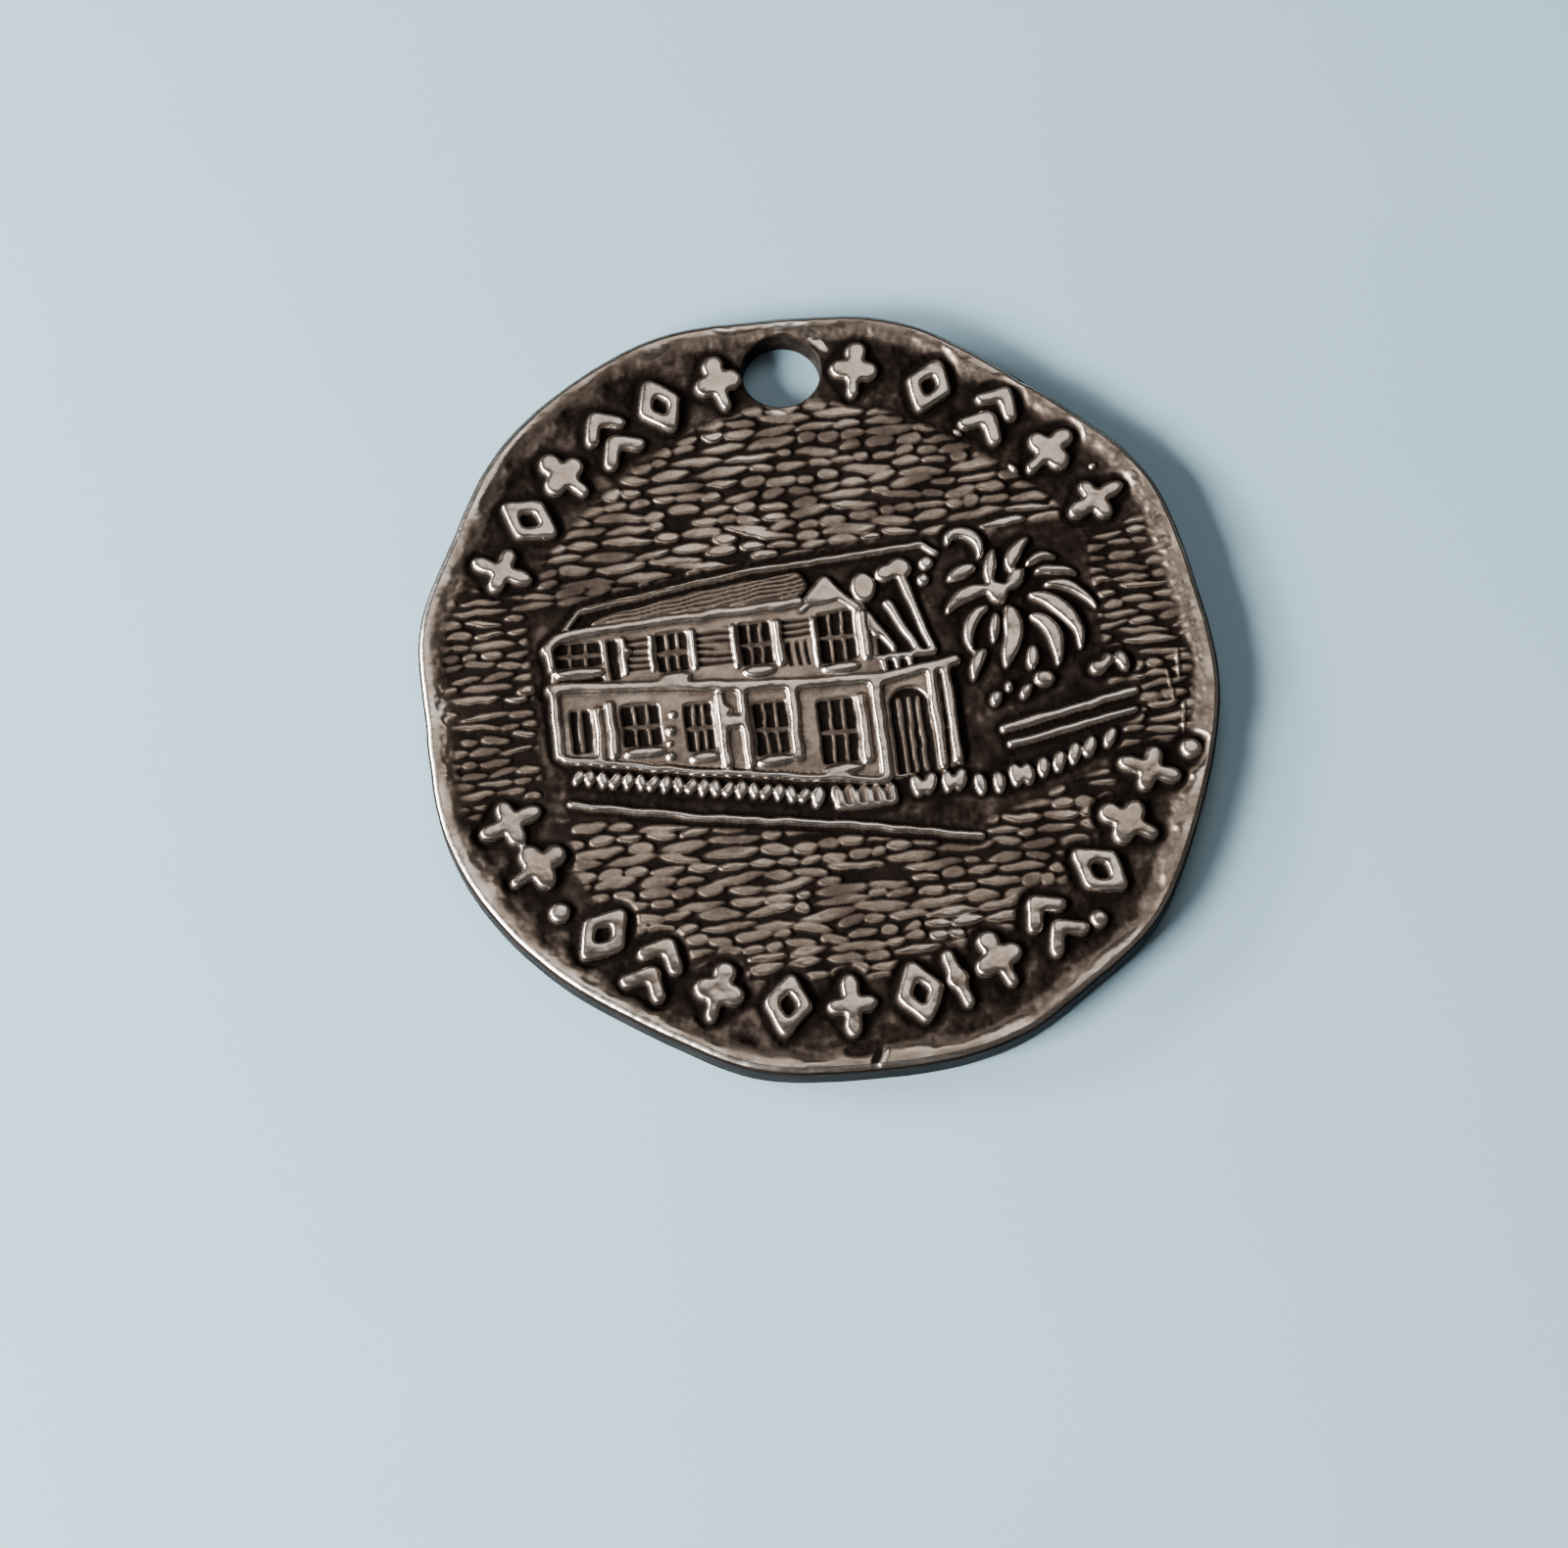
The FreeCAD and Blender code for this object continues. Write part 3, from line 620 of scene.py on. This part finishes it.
class Shell:
    """All points of the medal, and its faces by owner, before they are split into meshes."""

    def __init__(self):
        self.points, self.wear_and_painted_light, self.spread = [], [], []
        self.count = 0
        self.faces = {}            # owner: list of (faces, hidden or on the back)

    def add_points(self, x, y, z, wear_and_light_value, spread=None):
        """Spread is where the points lie on the bake map: their own plan, or unrolled."""
        points = np.stack(np.broadcast_arrays(x, y, z), 1).astype(float)
        self.points.append(points)
        self.wear_and_painted_light.append(np.broadcast_to(wear_and_light_value, len(points)).astype(float))
        self.spread.append(points[:, :2] if spread is None else spread)
        self.count += len(points)
        return np.arange(self.count - len(points), self.count)

    def add_faces(self, owner, faces, under=False):
        self.faces.setdefault(owner, []).append((faces, under))

    def strip(self, owner, near, far, under=False, facing_out=True):
        """Band of quads from one loop to the next one out."""
        quads = np.stack([near, np.roll(near, -1), np.roll(far, -1), far], 1)
        self.add_faces(owner, quads[:, ::-1] if facing_out else quads, under)

    def bridge(self, owner, a, a_turn, b, b_turn, flip):
        """Triangles between two loops of different lengths, matched by angle."""
        full = 2 * np.pi
        order_a, order_b = np.argsort(a_turn % full), np.argsort(b_turn % full)
        a, b = a[order_a], b[order_b]
        a_at = np.append((a_turn % full)[order_a], (a_turn % full).min() + full)
        b_at = np.append((b_turn % full)[order_b], (b_turn % full).min() + full)
        i = j = 0
        made = []
        while i < len(a) or j < len(b):
            a_next = a_at[i + 1] if i < len(a) else np.inf
            b_next = b_at[j + 1] if j < len(b) else np.inf
            if a_next <= b_next:
                made.append((a[i], a[(i + 1) % len(a)], b[j % len(b)]))
                i += 1
            else:
                made.append((a[i % len(a)], b[(j + 1) % len(b)], b[j]))
                j += 1
        made = np.array(made)
        self.add_faces(owner, made[:, ::-1] if flip else made, under=True)


def ring_noise(seed, turn, width):
    """Smooth noise of unit spread round a loop, width in radians."""
    rng = np.random.default_rng(seed)
    orders = np.arange(1, int(3 / width))
    weights = np.exp(-0.5 * (orders * width) ** 2)
    phases = rng.uniform(0, 2 * np.pi, len(orders))
    swing = (weights[:, None] * np.cos(orders[:, None] * turn[None, :] + phases[:, None])).sum(0)
    return swing / swing.std()


ROUND_STEPS = 7                    # rows round each edge of the medal
TOP_DROP = 0.9                     # the front edge's rounding is a little flatter than a quarter circle
WALL_ROWS = (0.8, 0.6, 0.4, 0.22)  # rows down the planchet's wall, as shares of its height
BRIGHT_ROWS = 3                    # rows of the edge that are worn bright, and carry a highlight painted on the left and lower left
EDGE_WEAR = 0.72
# the medal's side wall is painted near black as shade
WALL_SHADE_TONE = 0.12
HOLE_STEPS = 4                     # rows round each edge of the ring hole
HOLE_ROWS = (0.75, 0.5, 0.25)      # rows down the hole's wall, as shares of its height
HOLE_SQUEEZE = 0.85                # how much the hole's wall is squeezed on the bake map, to fit
HOLE_WEAR = 0.2
BACK_DEPTH = 0.03                  # of the back's dimples
BACK_WEAR = 0.36
UNDER_GAP = 0.01                   # least thickness of a node's mesh
UNDER_WEAR = 0.1
BACK_STEP = 0.08                   # spacing of the plain back's grid
BACK_MARGIN = 0.04                 # from the back's rounded edges to its grid


def edge_rows(z_top):
    """Rows down the medal's edge: how far in from the outline, and height, the rim's last row marked."""
    rows = []
    for k in range(1, ROUND_STEPS + 1):
        phi = math.pi / 2 * k / ROUND_STEPS
        drop = TOP_DROP * EDGE_ROUND * (1 - math.cos(phi))
        rows.append((EDGE_ROUND * (1 - math.sin(phi)), z_top - drop, False))
    rows.append((0.0, np.full_like(z_top, FIELD_Z), True))
    for share in WALL_ROWS:
        rows.append((0.0, np.full_like(z_top, FIELD_Z * share), False))
    for k in range(1, ROUND_STEPS + 1):
        phi = math.pi / 2 * k / ROUND_STEPS
        z = np.full_like(z_top, EDGE_ROUND * (1 - math.sin(phi)))
        rows.append((EDGE_ROUND * (1 - math.cos(phi)), z, False))
    return rows


def add_edge(shell, lower):
    """The rounded edge of the medal, shared by the rim and the planchet. Returns the loop on the back."""
    turn = face.outer_turn
    start = face.z[face.outer]
    dents = 0.012 * ring_noise(21, turn, 0.02) + 0.02 * ring_noise(22, turn, 0.08)
    near = face.outer
    run = 0.0
    owner = "rim_border"
    inset_before, z_before = EDGE_ROUND, start
    for k, (inset, z, last_of_rim) in enumerate(edge_rows(start)):
        sway = -0.5 * np.abs(dents) * (1 if inset < EDGE_ROUND * 0.9 else 0)
        radius = edge_at(turn) - inset + sway
        run = run + np.hypot(inset - inset_before, z - z_before).mean()
        spread_r = edge_at(turn) - EDGE_ROUND + run
        spread = np.stack([spread_r * np.cos(turn), spread_r * np.sin(turn)], 1)
        # the top rows are worn bright, with a highlight painted in on the left and lower left
        if k < BRIGHT_ROWS:
            shine = EDGE_WEAR + 0.2 * painted_highlight_arc(turn) + 0.1 * ring_noise(30 + k, turn, 0.05)
        else:
            # the wall is painted near black as shade
            shine = WALL_SHADE_TONE + 0.06 * ring_noise(30 + k, turn, 0.03)
        far = shell.add_points(radius * np.cos(turn), radius * np.sin(turn), z, shine, spread)
        shell.strip(owner, near, far)
        if last_of_rim:
            rim_foot = lower[face.outer]
            shell.strip("rim_border", rim_foot, far, under=True, facing_out=False)
            shell.strip("planchet", rim_foot, far)
            owner = "planchet"
        near = far
        inset_before, z_before = inset, z
    return near


def add_hole(shell):
    """The wall of the ring hole. Returns the loop on the back."""
    turn = face.hole_turn
    start = face.z[face.hole]
    near = face.hole
    rows = []
    for k in range(1, HOLE_STEPS + 1):
        phi = math.pi / 2 * k / HOLE_STEPS
        rows.append((HOLE_LIP * (1 - math.sin(phi)), start - HOLE_LIP * (1 - math.cos(phi))))
    for share in HOLE_ROWS:
        rows.append((0.0, HOLE_LIP + (start - 2 * HOLE_LIP) * share))
    for k in range(HOLE_STEPS + 1):
        phi = math.pi / 2 * k / HOLE_STEPS
        rows.append((HOLE_LIP * (1 - math.cos(phi)), np.full_like(start, HOLE_LIP * (1 - math.sin(phi)))))
    run = 0.0
    inset_before, z_before = HOLE_LIP, start
    for k, (widen, z) in enumerate(rows):
        radius = HOLE_R + widen
        run = run + np.hypot(widen - inset_before, z - z_before).mean() * HOLE_SQUEEZE
        spread_r = HOLE_R + HOLE_LIP - run
        spread = np.stack([spread_r * np.cos(turn), HOLE_Y + spread_r * np.sin(turn)], 1)
        shine = HOLE_WEAR + 0.05 * ring_noise(50 + k, turn, 0.1)
        far = shell.add_points(radius * np.cos(turn), HOLE_Y + radius * np.sin(turn), z, shine, spread)
        shell.strip("planchet", near, far)
        near = far
        inset_before, z_before = widen, z
    return near


BACK_NOISE = noise(12, 1.1) + 0.5 * noise(13, 0.4)


def back_height(x, y):
    """The plain cast back: flat, with faint hammered dimples that never stand proud of it."""
    dimples = 0.5 + 0.25 * sample(BACK_NOISE, x, y)
    return BACK_DEPTH * np.clip(dimples, 0, 1)


def add_back(shell, edge_loop, hole_loop):
    """The back: a coarser grid inside the rounded edge and round the hole."""
    count = int(2 * HALF_SPAN / BACK_STEP) + 1
    axis = -HALF_SPAN + BACK_STEP * np.arange(count)
    gx, gy = np.meshgrid(axis, axis)
    mx, my = gx[:-1, :-1] + BACK_STEP / 2, gy[:-1, :-1] + BACK_STEP / 2
    inset = EDGE_ROUND + BACK_MARGIN
    reach = HOLE_R + HOLE_LIP + BACK_MARGIN
    kept = (np.hypot(mx, my) < edge_at(np.arctan2(my, mx)) - inset) & (np.hypot(mx, my - HOLE_Y) > reach)
    j, i = np.nonzero(kept)
    first = j * count + i
    quads = np.stack([first, first + 1, first + count + 1, first + count], 1)
    outer, hole = boundary_loops(quads)[:2]
    gx, gy = gx.ravel().copy(), gy.ravel().copy()
    turn = even_out(np.arctan2(gy[outer], gx[outer]))
    radius = edge_at(turn) - inset
    gx[outer], gy[outer] = radius * np.cos(turn), radius * np.sin(turn)
    hole_turn = even_out(np.arctan2(gy[hole] - HOLE_Y, gx[hole]))
    gx[hole], gy[hole] = reach * np.cos(hole_turn), HOLE_Y + reach * np.sin(hole_turn)
    keep = np.unique(quads)
    place = np.full(count * count, -1)
    x, y = gx[keep], gy[keep]
    shine = BACK_WEAR + 0.1 * sample(BACK_NOISE, x, y)
    place[keep] = shell.add_points(x, y, back_height(x, y), shine)
    shell.add_faces("planchet", place[quads][:, ::-1], under=True)
    shell.bridge("planchet", edge_loop, face.outer_turn, place[outer], turn, flip=True)
    shell.bridge("planchet", hole_loop, face.hole_turn, place[hole], hole_turn, flip=False)


def build_shell():
    """Every point and face of the medal."""
    shell = Shell()
    shell.add_points(face.x, face.y, face.z, face.wear_and_painted_light)
    on_outline = np.isin(np.arange(len(face.x)), face.outer)
    foot = np.where(on_outline, FIELD_Z, np.minimum(FIELD_Z, face.z - UNDER_GAP))
    under = shell.add_points(face.x, face.y, foot, UNDER_WEAR)
    lower = np.where(INNER, under, np.arange(len(face.x)))
    for which, name in enumerate(["planchet"] + NODES):
        own = face.quads[LABEL == which]
        if not len(own):
            raise RuntimeError(f"the face has no cells of {name}")
        shell.add_faces(name, own)
        if which:
            shell.add_faces(name, lower[own][:, ::-1], under=True)
            shell.add_faces("planchet", lower[own])
    edge_loop = add_edge(shell, lower)
    hole_loop = add_hole(shell)
    add_back(shell, edge_loop, hole_loop)
    return shell


def point_normals(points, groups):
    """Normals of the medal's whole outer surface, so that its meshes meet without a seam."""
    normals = np.zeros_like(points)
    for faces in groups:
        across = points[faces[:, 2]] - points[faces[:, 0]]
        other = points[faces[:, -1]] - points[faces[:, 1]]
        if faces.shape[1] == 3:
            across = points[faces[:, 1]] - points[faces[:, 0]]
            other = points[faces[:, 2]] - points[faces[:, 0]]
        area = np.cross(across, other)
        for corner in range(faces.shape[1]):
            for axis in range(3):
                normals[:, axis] += np.bincount(faces[:, corner], area[:, axis], len(points))
    length = np.linalg.norm(normals, axis=1, keepdims=True)
    return normals / np.maximum(length, 1e-12)


MAP_SHOWN = 0.72                   # share of the bake map's side that what shows takes
MAP_BACK = 0.24                    # share that hidden and back faces take
MAP_BACK_AT = 0.75                 # and the corner where they start
MAP_EDGE = 0.01
NO_SPAN = 1e-6


def bake_map(spread, plan, under):
    """Bake map of a piece: what shows takes the large part, and its hidden or back faces the corner."""
    shown = spread - spread[~under].min(0)
    shown *= MAP_SHOWN / max(np.ptp(spread[~under], axis=0).max(), NO_SPAN)
    back = plan - plan.min(0)
    back *= MAP_BACK / max(np.ptp(plan, axis=0).max(), NO_SPAN)
    return np.where(under[:, None], back + MAP_BACK_AT, shown + MAP_EDGE)


def make_piece(name, shell, points, normals, wear_and_light_values, spread):
    """One closed mesh of the medal, from its owner's faces."""
    groups = shell.faces[name]
    corners = np.concatenate([f.ravel() for f, _ in groups])
    sizes = np.concatenate([np.full(len(f), f.shape[1]) for f, _ in groups])
    under = np.concatenate([np.full(f.size, u) for f, u in groups])
    used, local = np.unique(corners, return_inverse=True)
    mesh = bpy.data.meshes.new(name)
    mesh.vertices.add(len(used))
    mesh.vertices.foreach_set("co", (points[used] * MM).ravel())
    mesh.loops.add(len(corners))
    mesh.loops.foreach_set("vertex_index", local.astype(np.int32))
    mesh.polygons.add(len(sizes))
    mesh.polygons.foreach_set("loop_start", np.concatenate([[0], np.cumsum(sizes)[:-1]]).astype(np.int32))
    mesh.update(calc_edges=True)
    # the wear attribute also carries painted highlights and painted shade, besides patina and wear
    worn = mesh.attributes.new("wear_and_painted_light", "FLOAT", "POINT")
    worn.data.foreach_set("value", wear_and_light_values[used].astype(np.float32))
    uv = bake_map(spread[corners], points[corners, :2], under)
    mesh.uv_layers.new(name="OFBake").data.foreach_set("uv", uv.astype(np.float32).ravel())
    mesh.shade_smooth()
    mesh.normals_split_custom_set_from_vertices(normals[used].tolist())
    piece = bpy.data.objects.new("medal_" + name, mesh)
    bpy.context.scene.collection.objects.link(piece)
    return piece


# ---------- antiqued metal ----------

class Nodes:
    """Short names for building a material's node tree."""

    def __init__(self, material):
        material.use_nodes = True
        self.tree = material.node_tree
        self.shader = self.tree.nodes["Principled BSDF"]

    def add(self, kind, **settings):
        node = self.tree.nodes.new("ShaderNode" + kind)
        for key, value in settings.items():
            setattr(node, key, value)
        return node

    def link(self, source, target):
        self.tree.links.new(source, target)

    def feed(self, target, value):
        if isinstance(value, bpy.types.NodeSocket):
            self.link(value, target)
        else:
            target.default_value = value

    def math(self, operation, a, b=0.0, c=0.0, clamp=False):
        node = self.add("Math", operation=operation, use_clamp=clamp)
        for socket, value in zip(node.inputs, (a, b, c)):
            self.feed(socket, value)
        return node.outputs[0]

    def ramp(self, value, stops):
        node = self.add("ValToRGB")
        marks = node.color_ramp.elements
        while len(marks) < len(stops):
            marks.new(0.5)
        for mark, (place, colour) in zip(marks, stops):
            mark.position = place
            mark.color = (*colour, 1)
        self.link(value, node.inputs[0])
        return node.outputs[0]

    def noise(self, scale, detail, roughness, stretch=(1, 1, 1)):
        """Noise in the object's own space. Scale is in features per millimetre."""
        place = self.add("TexCoord").outputs["Object"]
        turned = self.add("Mapping")
        turned.inputs["Scale"].default_value = stretch
        self.link(place, turned.inputs["Vector"])
        node = self.add("TexNoise")
        node.inputs["Scale"].default_value = scale / MM
        node.inputs["Detail"].default_value = detail
        node.inputs["Roughness"].default_value = roughness
        self.link(turned.outputs[0], node.inputs["Vector"])
        return node.outputs[0]

    def remap(self, value, low, high, to_low, to_high):
        node = self.add("MapRange")
        for key, number in (("From Min", low), ("From Max", high), ("To Min", to_low), ("To Max", to_high)):
            node.inputs[key].default_value = number
        self.link(value, node.inputs["Value"])
        return node.outputs[0]


# Colour at each share of wear, from black patina to bare white metal
PATINA = [
    (0.00, (0.0020, 0.0010, 0.0006)),
    (0.12, (0.0060, 0.0038, 0.0028)),
    (0.22, (0.0125, 0.0090, 0.0072)),
    (0.42, (0.068, 0.053, 0.044)),
    (0.60, (0.235, 0.188, 0.155)),
    (0.78, (0.380, 0.340, 0.310)),
    (1.00, (0.540, 0.500, 0.470)),
]


def antiqued_metal(name):
    """White metal with dark patina in its hollows, worn bright on what stands proud; its wear attribute also
    carries painted highlights and painted shade.
    """
    material = bpy.data.materials.new(name)
    n = Nodes(material)
    wear_and_painted_light = n.add("Attribute", attribute_type="GEOMETRY", attribute_name="wear_and_painted_light").outputs["Fac"]
    grain = n.noise(9.0, 5.0, 0.62)
    cloud = n.noise(0.55, 4.0, 0.6)
    scratches = n.noise(5.0, 3.0, 0.7, (0.16, 1.0, 1.0))
    # the wear attribute here includes painted highlights and painted shade
    worn = n.math("ADD", wear_and_painted_light, n.remap(grain, 0.3, 0.7, -0.035, 0.035))
    worn = n.math("ADD", worn, n.remap(cloud, 0.3, 0.7, -0.03, 0.03))
    worn = n.math("ADD", worn, n.remap(scratches, 0.35, 0.65, -0.02, 0.02), clamp=True)
    n.link(n.ramp(worn, PATINA), n.shader.inputs["Base Color"])
    n.link(n.remap(worn, 0.15, 0.6, 0.3, 1.0), n.shader.inputs["Metallic"])
    rough = n.remap(worn, 0.2, 0.62, 0.60, 0.25)
    rough = n.math("ADD", rough, n.remap(scratches, 0.3, 0.7, -0.05, 0.06), clamp=True)
    n.link(rough, n.shader.inputs["Roughness"])
    n.shader.inputs["Specular IOR Level"].default_value = 0.06
    relief = n.math("ADD", n.math("MULTIPLY", grain, 0.6), n.math("MULTIPLY", scratches, 0.4))
    bump = n.add("Bump")
    bump.inputs["Strength"].default_value = 0.4
    bump.inputs["Distance"].default_value = 0.010 * MM
    n.link(relief, bump.inputs["Height"])
    n.link(bump.outputs[0], n.shader.inputs["Normal"])
    return material


def make_medal():
    """All of the medal's pieces, each in place of the CAD node that it is named after."""
    shell = build_shell()
    points = np.concatenate(shell.points)
    wear_and_light_values = np.concatenate(shell.wear_and_painted_light)
    spread = np.concatenate(shell.spread)
    visible = [face.quads] + [f for owner in shell.faces for f, _ in shell.faces[owner]
                              if owner in ("planchet", "rim_border") and f.min() >= len(face.x)]
    normals = point_normals(points, visible)
    slot_of = {s["node"]: s["material_slot"] for s in frame["record"]["subparts"]}
    metals = {slot: antiqued_metal(slot) for slot in sorted(set(slot_of.values()))}
    for name in ["planchet"] + NODES:
        piece = make_piece(name, shell, points, normals, wear_and_light_values, spread)
        piece.data.materials.append(metals[slot_of[name]])
        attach(piece, "root")
        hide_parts(name)


# ---------- floor, light and camera ----------

FLOOR_REACH = 1.2                  # metres from the middle to each side
FLOOR_COLOURS = [(0.3, (0.20, 0.33, 0.42)), (0.7, (0.23, 0.36, 0.45))]


def make_floor():
    """Plain pale floor under the medal."""
    size = FLOOR_REACH
    mesh = bpy.data.meshes.new("floor")
    corners = [(-size, -size, 0), (size, -size, 0), (size, size, 0), (-size, size, 0)]
    mesh.from_pydata(corners, [], [(0, 1, 2, 3)])
    floor = bpy.data.objects.new("floor", mesh)
    bpy.context.scene.collection.objects.link(floor)
    material = bpy.data.materials.new("floor_paint")
    n = Nodes(material)
    mottled = n.noise(0.02, 3.0, 0.5)
    n.link(n.ramp(mottled, FLOOR_COLOURS), n.shader.inputs["Base Color"])
    n.shader.inputs["Roughness"].default_value = 0.6
    mesh.materials.append(material)


def area_light(name, azimuth, elevation, distance, size, power, colour):
    """Soft light that looks at the medal. Azimuth is anticlockwise from +X, in degrees."""
    a, e = math.radians(azimuth), math.radians(elevation)
    towards = Vector((math.cos(a) * math.cos(e), math.sin(a) * math.cos(e), math.sin(e)))
    data = bpy.data.lights.new(name, "AREA")
    data.shape = "RECTANGLE"
    data.size, data.size_y = size[0] * MM, size[1] * MM
    data.energy = power
    data.color = colour
    lamp = bpy.data.objects.new(name, data)
    lamp.location = towards * distance * MM
    lamp.rotation_mode = "QUATERNION"
    lamp.rotation_quaternion = towards.to_track_quat("Z", "Y")
    bpy.context.scene.collection.objects.link(lamp)


ROOM_COLOUR = (0.90, 0.86, 0.81, 1)
ROOM_STRENGTH = 0.17
PANEL_COLOUR = (1.0, 0.97, 0.94)
KEY_COLOUR = (1.0, 0.95, 0.90)


def make_lights():
    """Dim room light, a broad panel overhead, a low key light and a strip for the left edge."""
    world = bpy.data.worlds.new("studio")
    world.use_nodes = True
    background = world.node_tree.nodes["Background"]
    background.inputs["Color"].default_value = ROOM_COLOUR
    background.inputs["Strength"].default_value = ROOM_STRENGTH
    bpy.context.scene.world = world
    area_light("overhead_panel", 80, 62, 420, (260, 200), 0.5, PANEL_COLOUR)
    area_light("low_key", 203, 30, 300, (150, 95), 5.0, KEY_COLOUR)
    area_light("edge_strip", 163, 19, 300, (110, 50), 2.6, KEY_COLOUR)


LENS = 85.0
SENSOR = 36.0
VIEW_DISTANCE = 137.4
VIEW_ELEVATION = 69.0
VIEW_TURN = 6.8                    # the medal's +Y leans this far left of the picture's upright
AIM_LEFT = 1.38                    # the camera aims this far left of and below the medal's centre
AIM_DOWN = 3.28


def make_camera():
    """Camera above the medal's lower edge, looking down at its face."""
    turn = Matrix.Rotation(math.radians(-VIEW_TURN), 3, "Z")
    e = math.radians(VIEW_ELEVATION)
    right = turn @ Vector((1, 0, 0))
    back = turn @ Vector((0, -math.cos(e), math.sin(e)))
    up = back.cross(right)
    middle = Vector((0, 0, TOP_Z))
    place = middle + back * VIEW_DISTANCE
    aim = middle - right * AIM_LEFT - up * AIM_DOWN
    z_axis = (place - aim).normalized()
    x_axis = up.cross(z_axis).normalized()
    y_axis = z_axis.cross(x_axis)
    data = bpy.data.cameras.new("camera")
    data.lens = LENS
    data.sensor_width = SENSOR
    data.clip_start, data.clip_end = 0.01, 10
    camera = bpy.data.objects.new("camera", data)
    camera.location = place * MM
    camera.rotation_mode = "QUATERNION"
    camera.rotation_quaternion = Matrix((x_axis, y_axis, z_axis)).transposed().to_quaternion()
    bpy.context.scene.collection.objects.link(camera)
    bpy.context.scene.camera = camera


make_medal()
make_floor()
make_lights()
make_camera()
